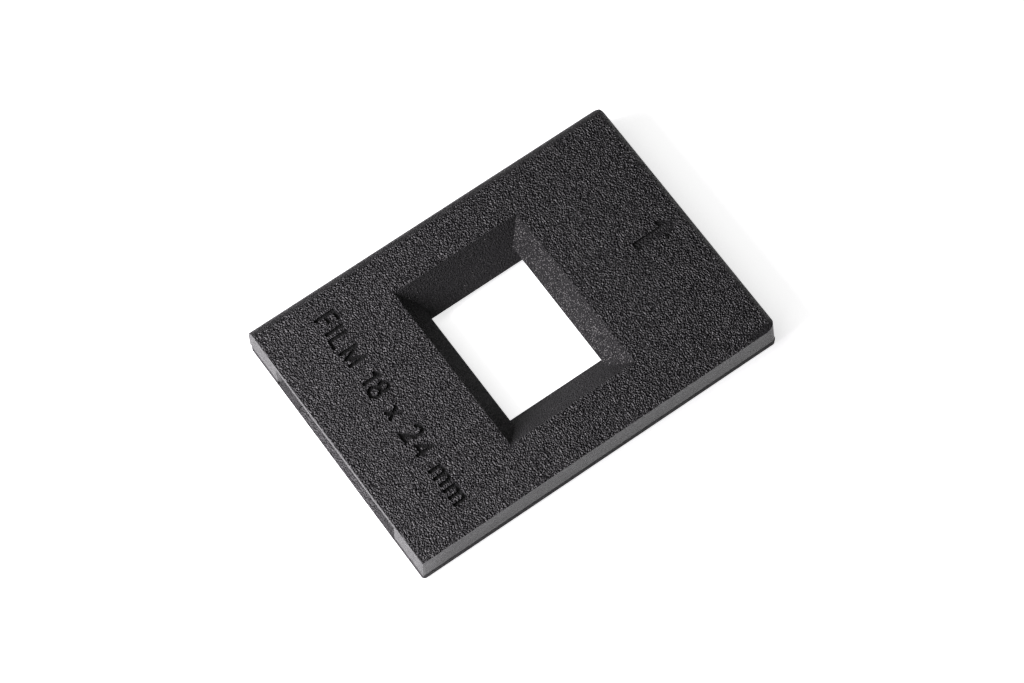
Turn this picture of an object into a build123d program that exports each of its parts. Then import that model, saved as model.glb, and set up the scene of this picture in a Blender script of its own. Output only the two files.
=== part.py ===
"""A glassless negative carrier for half-frame pictures on 35 mm film.

An upper block with a bevelled picture gate lies on a thin lower plate. The film strip runs
between them along X, and eight disc magnets hold the two halves together. The origin is the
centre of the underside, +X points the way the engraved arrow points and +Z is up.
All lengths are in millimetres.
"""

from build123d import *
from math import radians, tan
import os

# Outer sizes
carrier_length = 80.8
carrier_width = 56.4
plate_thickness = 2.0
block_thickness = 6.9

# Outline of the two halves: the block stops short of the plate at the arrow end, and its top
# is rounded along the far long side and along the arrow end
block_setback = 0.1
block_near_corner = 0.9
block_near_corner_top = 2.8
block_far_corner = 2.5
block_far_rounding = 2.0
block_end_rounding = 1.5
plate_corner = 0.7
seam_chamfer = 0.25
foot_chamfer = 0.3

# Film path: 35 mm film between a shallow channel above and two rails below
film_channel_width = 35.3
film_gap = 0.3
picture_width = 25.2
relief_depth = 0.6
tunnel_height = 2.85

# Picture gate
gate_length = 20.8
bevel_angle = 42.5
plate_window_length = 24.0
plate_window_width = 27.2
plate_window_corner = 0.8

# Film mouths at both ends
mouth_lip = 1.5
mouth_depth = 3.6
mouth_flare = 1.35
rail_ramp_length = 1.6
rail_ramp_drop = 1.5
relief_ramp_length = 2.2
relief_ramp_drop = 0.9

# Magnets and the pegs that line the halves up
magnet_radius = 2.5
magnet_clearance = 0.05
block_magnet_thickness = 2.0
plate_magnet_thickness = 1.0
magnet_recess = 0.1
magnet_chamfer = 0.15
magnet_x = 32.0
magnet_y = 22.9
peg_radius = 2.0
peg_clearance = 0.2
peg_height = 1.8
peg_chamfer = 0.4
socket_depth = 2.2
peg_places = [(0.0, magnet_y), (14.0, -magnet_y)]

# Engraved size mark and direction arrow
mark_depth = 0.6
mark_text = "FILM 18 x 24 mm"
mark_height = 4.05
mark_stroke = 0.72
mark_length = 44.6
mark_foot_x = -29.4
mark_middle_y = 0.0
arrow_depth = 0.55
arrow_tip_x = 37.7
arrow_head_length = 3.7
arrow_head_width = 4.7
arrow_shaft_length = 6.0
arrow_shaft_width = 1.85

# Values that follow from the ones above
half_length = carrier_length / 2
half_width = carrier_width / 2
block_end = half_length - block_setback
carrier_height = plate_thickness + block_thickness
bevel_slope = tan(radians(bevel_angle))
film_top = plate_thickness + film_gap
tunnel_top = plate_thickness + tunnel_height
gate_top_length = gate_length + 2 * (carrier_height - tunnel_top) * bevel_slope
gate_top_width = picture_width + 2 * (carrier_height - film_top) * bevel_slope
tunnel_top_width = picture_width + 2 * (tunnel_top - film_top) * bevel_slope
relief_floor = plate_thickness - relief_depth
mouth_width = film_channel_width + 2 * mouth_flare
magnet_places = [(x, y) for x in (-magnet_x, magnet_x) for y in (-magnet_y, magnet_y)]

# Letter widths, as fractions of the letter height
letter_widths = {
    "F": 0.52, "I": 0.0, "L": 0.48, "M": 0.72, "1": 0.26, "8": 0.52,
    "x": 0.46, "2": 0.5, "4": 0.56, "m": 0.8, " ": 0.16,
}


def draw_letter(letter, left, height):
    """Draws the centre lines of one plain letter or digit, with its foot on the X axis."""

    def at(u, v):
        return (left + u * height, v * height)

    if letter == "F":
        Polyline(at(0, 0), at(0, 1), at(0.52, 1))
        Line(at(0, 0.53), at(0.45, 0.53))
    elif letter == "I":
        Line(at(0, 0), at(0, 1))
    elif letter == "L":
        Polyline(at(0, 1), at(0, 0), at(0.48, 0))
    elif letter == "M":
        Line(at(0, 0), at(0, 1))
        Polyline(at(0.02, 0.95), at(0.36, 0.16), at(0.7, 0.95))
        Line(at(0.72, 1), at(0.72, 0))
    elif letter == "1":
        Line(at(0, 0.74), at(0.24, 0.92))
        Line(at(0.26, 1), at(0.26, 0))
    elif letter == "8":
        CenterArc(at(0.26, 0.77), 0.22 * height, 0, 360)
        CenterArc(at(0.26, 0.27), 0.26 * height, 0, 360)
    elif letter == "x":
        Line(at(0, 0), at(0.46, 0.7))
        Line(at(0, 0.7), at(0.46, 0))
    elif letter == "2":
        ThreePointArc(at(0.02, 0.75), at(0.25, 1), at(0.48, 0.75))
        Polyline(at(0.48, 0.75), at(0.42, 0.52), at(0, 0.02), at(0.5, 0.02))
    elif letter == "4":
        Line(at(0.42, 0), at(0.42, 1))
        Polyline(at(0.4, 0.93), at(0.03, 0.3), at(0.56, 0.3))
    elif letter == "m":
        Line(at(0, 0), at(0, 0.7))
        for start, spring in ((0.0, 0.46), (0.4, 0.44)):
            ThreePointArc(at(start, spring), at(start + 0.2, 0.66), at(start + 0.4, 0.46))
            Line(at(start + 0.4, 0.46), at(start + 0.4, 0))


# The mark runs across the block beside the gate and reads towards -Y
letters_width = sum(letter_widths[letter] for letter in mark_text) * mark_height
letter_gap = (mark_length - letters_width) / (len(mark_text) - 1)
mark_plane = Plane(
    origin=(mark_foot_x, mark_middle_y + mark_length / 2, carrier_height),
    x_dir=(0, -1, 0),
    z_dir=(0, 0, 1),
)
with BuildSketch(mark_plane) as size_mark:
    pen = 0.0
    for letter in mark_text:
        if letter != " ":
            with BuildLine():
                draw_letter(letter, pen, mark_height)
            trace(line_width=mark_stroke)
        pen += letter_widths[letter] * mark_height + letter_gap

with BuildSketch(Plane.XY.offset(carrier_height)) as arrow_mark:
    head_x = arrow_tip_x - arrow_head_length
    shaft_x = head_x - arrow_shaft_length
    with BuildLine():
        Polyline(
            (shaft_x, -arrow_shaft_width / 2),
            (head_x, -arrow_shaft_width / 2),
            (head_x, -arrow_head_width / 2),
            (arrow_tip_x, 0),
            (head_x, arrow_head_width / 2),
            (head_x, arrow_shaft_width / 2),
            (shaft_x, arrow_shaft_width / 2),
            close=True,
        )
    make_face()

# The space of one film mouth, at the -X end: its roof rises outwards and its sides flare
with BuildPart() as mouth_space:
    with BuildSketch(Plane.XY.offset(plate_thickness)):
        with BuildLine():
            Polyline(
                (-half_length, -mouth_width / 2),
                (-half_length + mouth_flare, -film_channel_width / 2),
                (-half_length + mouth_depth, -film_channel_width / 2),
                (-half_length + mouth_depth, film_channel_width / 2),
                (-half_length + mouth_flare, film_channel_width / 2),
                (-half_length, mouth_width / 2),
                close=True,
            )
        make_face()
    extrude(amount=block_thickness)
    with BuildSketch(Plane.XZ):
        with BuildLine():
            Polyline(
                (-half_length, plate_thickness),
                (-half_length + mouth_depth, plate_thickness),
                (-half_length + mouth_depth, film_top),
                (-half_length, carrier_height - mouth_lip),
                close=True,
            )
        make_face()
    extrude(amount=half_width, both=True, mode=Mode.INTERSECT)

# Upper block
with BuildPart() as upper_block:
    with BuildSketch(Plane.XY.offset(plate_thickness)) as block_outline:
        with Locations((-block_setback / 2, 0)):
            Rectangle(carrier_length - block_setback, carrier_width)
        far_corner = block_outline.vertices().group_by(Axis.X)[-1].sort_by(Axis.Y)[-1]
        fillet(far_corner, radius=block_far_corner)
        near_corner = block_outline.vertices().group_by(Axis.X)[-1].sort_by(Axis.Y)[0]
        fillet(near_corner, radius=block_near_corner)
    extrude(amount=block_thickness)

    chamfer(upper_block.faces().sort_by(Axis.Z)[0].edges(), length=seam_chamfer)

    # Near corner, rounded more and more towards the top
    for corner_z, radius in [
        (plate_thickness + seam_chamfer, block_near_corner),
        (carrier_height, block_near_corner_top),
    ]:
        with BuildSketch(Plane.XY.offset(corner_z)):
            with Locations((block_end - radius, radius - half_width)):
                Rectangle(2 * radius, 2 * radius, align=(Align.MIN, Align.MAX))
                Circle(radius, mode=Mode.SUBTRACT)
    loft(ruled=True, mode=Mode.SUBTRACT)

    # Rounding of the top along the far side and along the arrow end
    rounded_edges = [
        (Plane.YZ, half_width, block_far_rounding),
        (Plane.XZ, block_end, block_end_rounding),
    ]
    for side_plane, edge, radius in rounded_edges:
        with BuildSketch(side_plane):
            with Locations((edge - radius, carrier_height - radius)):
                Rectangle(2 * radius, 2 * radius, align=(Align.MIN, Align.MIN))
                Circle(radius, mode=Mode.SUBTRACT)
        extrude(amount=half_length, both=True, mode=Mode.SUBTRACT)

    # Relief tunnel over the pictures, its sides in line with the gate's long bevels
    with BuildSketch(Plane.YZ):
        with BuildLine():
            Polyline(
                (-picture_width / 2, film_top),
                (picture_width / 2, film_top),
                (tunnel_top_width / 2, tunnel_top),
                (-tunnel_top_width / 2, tunnel_top),
                close=True,
            )
        make_face()
    extrude(amount=half_length, both=True, mode=Mode.SUBTRACT)

    # Channel for the film's thickness
    with BuildSketch(Plane.XY.offset(plate_thickness)):
        Rectangle(carrier_length, film_channel_width)
    extrude(amount=film_gap, mode=Mode.SUBTRACT)

    # Bevelled picture gate
    with BuildSketch(Plane.XY.offset(tunnel_top)):
        Rectangle(gate_length, tunnel_top_width)
    with BuildSketch(Plane.XY.offset(carrier_height)):
        Rectangle(gate_top_length, gate_top_width)
    loft(mode=Mode.SUBTRACT)

    # Film mouths
    add(mouth_space.part, mode=Mode.SUBTRACT)
    add(mouth_space.part.mirror(Plane.YZ), mode=Mode.SUBTRACT)

    # Pockets for the magnets and sockets for the plate's pegs
    with BuildSketch(Plane.XY.offset(plate_thickness)):
        with Locations(magnet_places):
            Circle(magnet_radius + magnet_clearance)
    extrude(amount=magnet_recess / 2 + block_magnet_thickness, mode=Mode.SUBTRACT)
    with BuildSketch(Plane.XY.offset(plate_thickness)):
        with Locations(peg_places):
            Circle(peg_radius + peg_clearance)
    extrude(amount=socket_depth, mode=Mode.SUBTRACT)

    # Engraving
    add(size_mark.sketch)
    extrude(amount=-mark_depth, mode=Mode.SUBTRACT)
    add(arrow_mark.sketch)
    extrude(amount=-arrow_depth, mode=Mode.SUBTRACT)

# Lower plate
with BuildPart() as lower_plate:
    with BuildSketch() as plate_outline:
        Rectangle(carrier_length, carrier_width)
        fillet(plate_outline.vertices(), radius=plate_corner)
    extrude(amount=plate_thickness)
    chamfer(lower_plate.faces().sort_by(Axis.Z)[0].edges(), length=foot_chamfer)

    # Window under the picture gate
    with BuildSketch() as plate_window:
        Rectangle(plate_window_length, plate_window_width)
        fillet(plate_window.vertices(), radius=plate_window_corner)
    extrude(amount=plate_thickness, mode=Mode.SUBTRACT)

    # Relief between the two film rails
    with BuildSketch(Plane.XY.offset(plate_thickness)):
        Rectangle(carrier_length, picture_width)
    extrude(amount=-relief_depth, mode=Mode.SUBTRACT)

    # Ramps where the film enters and leaves: low between the rails, steeper on the rails
    ramps = [
        (mouth_width, plate_thickness, rail_ramp_length, rail_ramp_drop),
        (picture_width, relief_floor, relief_ramp_length, relief_ramp_drop),
    ]
    for ramp_width, ramp_top, ramp_length, ramp_drop in ramps:
        for end in (-1, 1):
            edge_x = end * half_length
            with BuildSketch(Plane.XZ):
                with BuildLine():
                    Polyline(
                        (edge_x, ramp_top),
                        (edge_x - end * ramp_length, ramp_top),
                        (edge_x, ramp_top - ramp_drop),
                        close=True,
                    )
                make_face()
            extrude(amount=ramp_width / 2, both=True, mode=Mode.SUBTRACT)

    # Magnet pockets
    with BuildSketch(Plane.XY.offset(plate_thickness)):
        with Locations(magnet_places):
            Circle(magnet_radius + magnet_clearance)
    extrude(amount=-magnet_recess / 2 - plate_magnet_thickness, mode=Mode.SUBTRACT)

    # Locating pegs
    with BuildSketch(Plane.XY.offset(plate_thickness)):
        with Locations(peg_places):
            Circle(peg_radius)
    extrude(amount=peg_height)
    peg_tops = lower_plate.faces().filter_by(Axis.Z).sort_by(Axis.Z)[-len(peg_places):]
    chamfer(peg_tops.edges(), length=peg_chamfer)

# Magnets: one above the other at each corner, the thicker of the two in the block
block_magnet_bottom = plate_thickness + magnet_recess / 2
plate_magnet_bottom = plate_thickness - magnet_recess / 2 - plate_magnet_thickness
magnet_sets = [
    ("block_magnet", block_magnet_bottom, block_magnet_thickness),
    ("plate_magnet", plate_magnet_bottom, plate_magnet_thickness),
]
magnets = []
for set_name, bottom, thickness in magnet_sets:
    for number, place in enumerate(magnet_places, start=1):
        with BuildPart() as magnet:
            with BuildSketch(Plane.XY.offset(bottom)):
                with Locations(place):
                    Circle(magnet_radius)
            extrude(amount=thickness)
            chamfer(magnet.faces().filter_by(Axis.Z).edges(), length=magnet_chamfer)
        magnet.part.label = f"{set_name}_{number}"
        magnets.append(magnet.part)

upper_block.part.label = "upper_block"
lower_plate.part.label = "lower_plate"

os.makedirs("parts", exist_ok=True)
for piece in [upper_block.part, lower_plate.part] + magnets:
    export_step(piece, f"parts/{piece.label}.step")
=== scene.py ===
"""A black printed-nylon negative carrier on a pale floor, seen from above its near left corner."""

import math

import bpy
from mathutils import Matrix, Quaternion, Vector


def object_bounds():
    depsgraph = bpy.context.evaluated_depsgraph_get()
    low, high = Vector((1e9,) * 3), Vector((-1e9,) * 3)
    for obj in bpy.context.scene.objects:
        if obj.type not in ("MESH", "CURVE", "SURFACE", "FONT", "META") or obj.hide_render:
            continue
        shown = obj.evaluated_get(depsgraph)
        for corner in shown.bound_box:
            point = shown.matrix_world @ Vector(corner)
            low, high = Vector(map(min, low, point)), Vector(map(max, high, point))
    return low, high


MM = 0.001

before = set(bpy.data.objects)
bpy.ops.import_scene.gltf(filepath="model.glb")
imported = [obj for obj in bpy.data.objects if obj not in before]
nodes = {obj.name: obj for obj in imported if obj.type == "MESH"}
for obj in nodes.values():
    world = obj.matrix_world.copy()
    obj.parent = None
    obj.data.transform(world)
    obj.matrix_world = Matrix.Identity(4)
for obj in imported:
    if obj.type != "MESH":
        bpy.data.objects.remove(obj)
cad_low, cad_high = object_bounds()

# Camera: a long lens that looks steeply down
VIEW_CENTRE = Vector((0.3, 0.9, 0.0)) * MM
VIEW_DISTANCE = 654.3 * MM
VIEW_AZIMUTH = math.radians(-36.05)
VIEW_ELEVATION = math.radians(67.05)
VIEW_ROLL = math.radians(0.46)
LENS_MM = 122.5

# Stage
FLOOR_REACH = 3.0
FLOOR_GLOW = 0.77
FLOOR_WHITE = (0.86, 0.86, 0.86, 1)
KEY_TINT = (1.0, 0.96, 1.02)

# Zones of the block, in millimetres
HALF_LENGTH = cad_high.x / MM
HALF_WIDTH = cad_high.y / MM
BLOCK_TOP = cad_high.z / MM
GATE_REACH = 20.0  # the gate's bevels lie within this distance of the centre both ways
MARK_MIDDLE_X = -28.0  # the engraved size mark's middle, and how far it reaches from there
MARK_REACH_X = 4.5
MARK_REACH_Y = 25.0
ARROW_MIDDLE_X = 32.8  # the same for the engraved arrow
ARROW_REACH_X = 5.4
ARROW_REACH_Y = 2.8
ARROW_FLOOR_SHADE = 0.15  # how much painted shade darkens the arrow's floor; its steep edges get the full painted shade
SMOOTH_SIDE = 1.7  # width of the smooth band along the far edge
STRIP_LENGTH = 6.0  # smooth strip beside the corner under the arrow
STRIP_WIDTH = 1.6
ARROW_SMOOTHING = 0.7  # how much of the pebbling is missing inside the arrow

# Grain of the nylon: scales per millimetre and heights in millimetres
CELL_SCALE = 2.4
CELL_HEIGHT = 0.15
PEBBLE_SCALE = 3.4
PEBBLE_HEIGHT = 0.36
FINE_SCALE = 3.4
FINE_HEIGHT = 0.2
POWDER_SCALE = 5.0
POWDER_HEIGHT = 0.035
ROUGH_SIDES = 4.5  # how much coarser the grain is on bevels and sides
PLATE_PEBBLES = 0.35  # how strongly the plate is pebbled, next to the block
EDGE_ROUNDING = 0.12

# Finish of the nylon
GLOSSIEST = 0.34  # roughness, where it isn't matt, on the lit bevel or engraved
DULLEST = 0.44
MATT_ROUGHNESS = 0.9
LIT_BEVEL_POLISH = 0.23  # how much less rough the bevel on the arrow's side, facing the lamps, is
GLINT_PAINT_SCALE = 4.2
GLINT_PAINT = 0.35  # how strongly pale specks, painted as glints, show on the grain
LIT_BEVEL_SHEEN = 2.8  # and how much more of them show, as painted highlight, on the bevel on the arrow's side that faces the lamps
DYE_DARK = (0.0085, 0.008, 0.0088, 1)
DYE_LIGHT = (0.0125, 0.0118, 0.0129, 1)
# painted shade that blackens the engraving's recesses
ENGRAVING_PAINTED_SHADE = (0.003, 0.003, 0.003, 1)
# rare pale grains of the nylon, and the pale specks painted as glints
PALE_GRAIN_AND_GLINT = (0.21, 0.204, 0.2, 1)


def add_camera():
    """The main camera, looking at the centre of the carrier."""
    back = Vector(
        (
            math.sin(VIEW_AZIMUTH) * math.cos(VIEW_ELEVATION),
            -math.cos(VIEW_AZIMUTH) * math.cos(VIEW_ELEVATION),
            math.sin(VIEW_ELEVATION),
        )
    )
    data = bpy.data.cameras.new("camera")
    data.lens = LENS_MM
    data.clip_start = 0.01
    camera = bpy.data.objects.new("camera", data)
    camera.location = VIEW_CENTRE + back * VIEW_DISTANCE
    camera.rotation_mode = "QUATERNION"
    roll = Quaternion((0, 0, 1), VIEW_ROLL)
    camera.rotation_quaternion = (-back).to_track_quat("-Z", "Y") @ roll
    bpy.context.scene.collection.objects.link(camera)
    bpy.context.scene.camera = camera


class Nodes:
    """A short way to write one material's node tree."""

    def __init__(self, name):
        self.material = bpy.data.materials.new(name)
        self.material.use_nodes = True
        self.tree = self.material.node_tree
        self.tree.nodes.clear()

    def add(self, kind, inputs=None, **settings):
        """One node. inputs maps a socket to a value or to another node's output."""
        node = self.tree.nodes.new(kind)
        for key, value in settings.items():
            setattr(node, key, value)
        for key, value in (inputs or {}).items():
            if isinstance(value, bpy.types.NodeSocket):
                self.tree.links.new(value, node.inputs[key])
            else:
                node.inputs[key].default_value = value
        return node

    def math(self, operation, first, second=0.0, clamp=False):
        """The result of one sum on two values."""
        node = self.add("ShaderNodeMath", {0: first, 1: second}, operation=operation, use_clamp=clamp)
        return node.outputs[0]

    def step(self, value, low, high, to_low=0.0, to_high=1.0):
        """value taken smoothly from low..high to to_low..to_high."""
        inputs = {"Value": value, "From Min": low, "From Max": high, "To Min": to_low, "To Max": to_high}
        node = self.add("ShaderNodeMapRange", inputs, interpolation_type="SMOOTHSTEP")
        return node.outputs["Result"]

    def split(self, vector):
        """The three parts of a vector or colour."""
        return self.add("ShaderNodeSeparateXYZ", {0: vector}).outputs

    def mix(self, factor, first, second):
        """A colour between first and second."""
        node = self.add("ShaderNodeMix", {"Factor": factor, 6: first, 7: second}, data_type="RGBA")
        return node.outputs[2]

    def noise(self, place, scale, detail=2.0, roughness=0.5):
        """Soft noise from 0 to 1."""
        inputs = {"Vector": place, "Scale": scale, "Detail": detail, "Roughness": roughness}
        return self.add("ShaderNodeTexNoise", inputs).outputs["Fac"]

    def finish(self, shader):
        """Links shader to the output and returns the material."""
        output = self.tree.nodes.new("ShaderNodeOutputMaterial")
        self.tree.links.new(shader, output.inputs["Surface"])
        return self.material


def in_millimetres(n):
    """The texture coordinate node, and the place on the part in millimetres."""
    coordinates = n.add("ShaderNodeTexCoord")
    place = n.add("ShaderNodeVectorMath", {0: coordinates.outputs["Object"]}, operation="SCALE")
    place.inputs["Scale"].default_value = 1 / MM
    return coordinates, place.outputs["Vector"]


def within(n, value, reach, blur=0.2):
    """1 where value lies within reach of zero, either way, and 0 outside."""
    return n.step(n.math("ABSOLUTE", value), reach - blur, reach + blur, 1.0, 0.0)


def block_zones(n, place, normal, facing_up):
    """Where the block is pebbled, matt, lit on the bevel facing the lamps, and blackened with painted
    shade in its engraving, each from 0 to 1.
    """
    x, y, z = n.split(place)
    depth = n.math("SUBTRACT", BLOCK_TOP, z)

    # Pebbles: all over the top, apart from two strips that were worked smooth
    smooth_side = n.step(y, HALF_WIDTH - SMOOTH_SIDE - 0.5, HALF_WIDTH - SMOOTH_SIDE + 0.5)
    strip_y = n.math("ADD", y, n.noise(place, 1.2, 1.0))
    near_strip = n.step(strip_y, STRIP_WIDTH - HALF_WIDTH, STRIP_WIDTH - HALF_WIDTH + 1.0, 1.0, 0.0)
    at_corner = n.step(x, HALF_LENGTH - STRIP_LENGTH - 1.0, HALF_LENGTH - STRIP_LENGTH + 1.0)
    smooth = n.math("MAXIMUM", smooth_side, n.math("MULTIPLY", near_strip, at_corner))
    pebbled = n.math("MULTIPLY", facing_up, n.math("SUBTRACT", 1.0, smooth))

    # Matt: the bevels of the picture gate
    in_gate = n.math("MULTIPLY", within(n, x, GATE_REACH), within(n, y, GATE_REACH))
    sloping = n.step(depth, 0.02, 0.1)
    matt = n.math("MULTIPLY", in_gate, sloping)

    # Lit bevel: the bevel on the arrow's side, which faces the lamps, a little less rough than the others
    # and paler with painted highlight
    lit_bevel = n.math("MULTIPLY", matt, n.step(normal[0], -0.6, -0.3, 1.0, 0.0))

    # Painted shade in the engraving: the size mark blackened all over its recesses, the arrow blackened on
    # its steep edges and only a little on its floor
    from_mark = n.math("SUBTRACT", x, MARK_MIDDLE_X)
    in_mark = n.math("MULTIPLY", within(n, from_mark, MARK_REACH_X), within(n, y, MARK_REACH_Y))
    mark = n.math("MULTIPLY", in_mark, n.step(depth, 0.1, 0.3))
    from_arrow = n.math("SUBTRACT", x, ARROW_MIDDLE_X)
    in_arrow = n.math("MULTIPLY", within(n, from_arrow, ARROW_REACH_X), within(n, y, ARROW_REACH_Y))
    sunk = n.math("MULTIPLY", in_arrow, n.step(depth, 0.03, 0.1))
    arrow = n.math("MULTIPLY", sunk, n.step(depth, 0.5, 0.54, 1.0, ARROW_FLOOR_SHADE))
    left_in_arrow = n.math("SUBTRACT", 1.0, n.math("MULTIPLY", sunk, ARROW_SMOOTHING))
    pebbled = n.math("MULTIPLY", pebbled, left_in_arrow)
    return pebbled, matt, lit_bevel, n.math("MAXIMUM", mark, arrow)


def plate_zones(n, place, normal, facing_up):
    """The plate is lightly pebbled on top and on its ramps, matt on its sides, with no paler lit bevel, no
    engraving and no painted shade.
    """
    pebbled = n.math("MULTIPLY", facing_up, PLATE_PEBBLES)
    nowhere = n.math("MULTIPLY", facing_up, 0.0)
    return pebbled, n.math("SUBTRACT", 1.0, facing_up), nowhere, nowhere


def printed_nylon(name, zones):
    """Black sintered nylon: pebbled, matt, paler on the lit bevel and blackened with painted shade in the
    engraving where zones says, and powdery everywhere else.
    """
    n = Nodes(name)
    coordinates, place = in_millimetres(n)
    normal = n.split(coordinates.outputs["Normal"])
    facing_up = n.step(normal[2], 0.5, 0.9)
    pebbled, matt, lit_bevel, shaded_engraving = zones(n, place, normal, facing_up)

    # Heights, in millimetres
    cells = n.add("ShaderNodeTexVoronoi", {"Vector": place, "Scale": CELL_SCALE})
    pebbles = n.math("MULTIPLY", cells.outputs["Distance"], -CELL_HEIGHT)
    rounder = n.math("MULTIPLY", n.noise(place, PEBBLE_SCALE, 0.0), PEBBLE_HEIGHT)
    pebbles = n.math("ADD", pebbles, rounder)
    pebbles = n.math("MULTIPLY", pebbles, pebbled)
    powder = n.noise(place, POWDER_SCALE, 2.0, 0.6)
    upright = n.math("SUBTRACT", 1.0, facing_up)
    coarser = n.math("ADD", 1.0, n.math("MULTIPLY", n.math("MAXIMUM", matt, upright), ROUGH_SIDES))
    fine = n.math("MULTIPLY", n.noise(place, FINE_SCALE, 2.0, 0.55), FINE_HEIGHT)
    fine = n.math("MULTIPLY", fine, coarser)
    relief = n.math("ADD", pebbles, fine)
    relief = n.math("ADD", relief, n.math("MULTIPLY", powder, POWDER_HEIGHT))

    rounded = n.add("ShaderNodeBevel", {"Radius": EDGE_ROUNDING * MM}, samples=4)
    bump = n.add("ShaderNodeBump", {"Height": relief, "Distance": MM, "Normal": rounded.outputs["Normal"]})

    # Dye that took unevenly, rare pale grains, pale specks painted as glints, and painted shade that
    # blackens the engraving
    dye = n.mix(n.noise(place, 0.3, 3.0), DYE_DARK, DYE_LIGHT)
    grains = n.add("ShaderNodeTexVoronoi", {"Vector": place, "Scale": 1.6})
    close = n.step(grains.outputs["Distance"], 0.1, 0.2, 1.0, 0.0)
    rare = n.step(n.split(grains.outputs["Color"])[0], 0.965, 0.97)
    color = n.mix(n.math("MULTIPLY", close, rare), dye, PALE_GRAIN_AND_GLINT)
    # Pale specks painted as glints on the pebbles and the sides
    painted_glints = n.step(n.noise(place, GLINT_PAINT_SCALE, 0.0), 0.6, 0.74)
    glint_zone = n.math("MAXIMUM", pebbled, n.math("SUBTRACT", upright, matt))
    # Painted highlight: more pale specks on the bevel that faces the lamps
    glint_zone = n.math("MAXIMUM", glint_zone, n.math("MULTIPLY", lit_bevel, LIT_BEVEL_SHEEN))
    color = n.mix(n.math("MULTIPLY", painted_glints, n.math("MULTIPLY", glint_zone, GLINT_PAINT)), color, PALE_GRAIN_AND_GLINT)
    # Painted shade: the engraving's recesses blackened in colour
    color = n.mix(shaded_engraving, color, ENGRAVING_PAINTED_SHADE)
    gloss = n.step(powder, 0.25, 0.75, GLOSSIEST, DULLEST)
    polish = n.math("MULTIPLY", lit_bevel, LIT_BEVEL_POLISH)
    duller = n.math("SUBTRACT", n.math("MULTIPLY", matt, MATT_ROUGHNESS), polish)
    duller = n.math("MAXIMUM", duller, shaded_engraving)
    shader = n.add(
        "ShaderNodeBsdfPrincipled",
        {
            "Base Color": color,
            "Roughness": n.math("MAXIMUM", gloss, duller),
            "Normal": bump.outputs["Normal"],
        },
    )
    return n.finish(shader.outputs["BSDF"])


def nickel(name):
    """Satin nickel plating, a little hazy from handling."""
    n = Nodes(name)
    place = in_millimetres(n)[1]
    haze = n.noise(place, 1.4, 4.0, 0.6)
    shader = n.add(
        "ShaderNodeBsdfPrincipled",
        {
            "Base Color": n.mix(haze, (0.66, 0.64, 0.6, 1), (0.74, 0.73, 0.7, 1)),
            "Roughness": n.step(haze, 0.3, 0.7, 0.42, 0.5),
            "Metallic": 1.0,
        },
    )
    return n.finish(shader.outputs["BSDF"])


def dress(node, material):
    """Gives a CAD node its material."""
    data = nodes[node].data
    data.materials.clear()
    data.materials.append(material)


def add_floor():
    """A plain white floor that glows a little, so that it stays white around the carrier."""
    n = Nodes("floor")
    shader = n.add(
        "ShaderNodeBsdfPrincipled",
        {
            "Base Color": FLOOR_WHITE,
            "Roughness": 0.7,
            "Emission Color": (1, 1, 1, 1),
            "Emission Strength": FLOOR_GLOW,
        },
    )
    mesh = bpy.data.meshes.new("floor")
    corners = [(-1, -1, 0), (1, -1, 0), (1, 1, 0), (-1, 1, 0)]
    mesh.from_pydata([Vector(corner) * FLOOR_REACH for corner in corners], [], [(0, 1, 2, 3)])
    mesh.materials.append(n.finish(shader.outputs["BSDF"]))
    floor = bpy.data.objects.new("floor", mesh)
    floor.location.z = cad_low.z - 0.01 * MM
    bpy.context.scene.collection.objects.link(floor)


def add_light(name, azimuth, elevation, distance, size, power, color=(1, 1, 1)):
    """A square soft light that faces the carrier's centre. Angles are in degrees, lengths in metres."""
    data = bpy.data.lights.new(name, "AREA")
    data.size = size
    data.energy = power
    data.color = color
    light = bpy.data.objects.new(name, data)
    around = math.radians(azimuth)
    up = math.radians(elevation)
    toward = Vector((math.cos(around) * math.cos(up), math.sin(around) * math.cos(up), math.sin(up)))
    light.location = toward * distance
    light.rotation_mode = "QUATERNION"
    light.rotation_quaternion = (-toward).to_track_quat("-Z", "Y")
    bpy.context.scene.collection.objects.link(light)


def add_lights():
    """Three soft lights low on the text end's side, and a larger one high up on the same side."""
    add_light("key", 175, 35, 0.26, 0.13, 0.9, KEY_TINT)
    add_light("low_key", 165, 16, 0.4, 0.2, 1.2, KEY_TINT)
    add_light("near_key", 205, 35, 0.4, 0.2, 0.2, KEY_TINT)
    add_light("overhead", 155, 64, 0.5, 0.3, 0.72)
    world = bpy.data.worlds.new("surround")
    world.use_nodes = True
    world.node_tree.nodes["Background"].inputs["Strength"].default_value = 0.0
    bpy.context.scene.world = world


add_camera()
add_floor()
add_lights()
dress("upper_block", printed_nylon("block_nylon", block_zones))
dress("lower_plate", printed_nylon("plate_nylon", plate_zones))
magnet_nickel = nickel("magnet_nickel")
for node in nodes:
    if "magnet" in node:
        dress(node, magnet_nickel)

scene = bpy.context.scene
scene.view_settings.view_transform = "Standard"
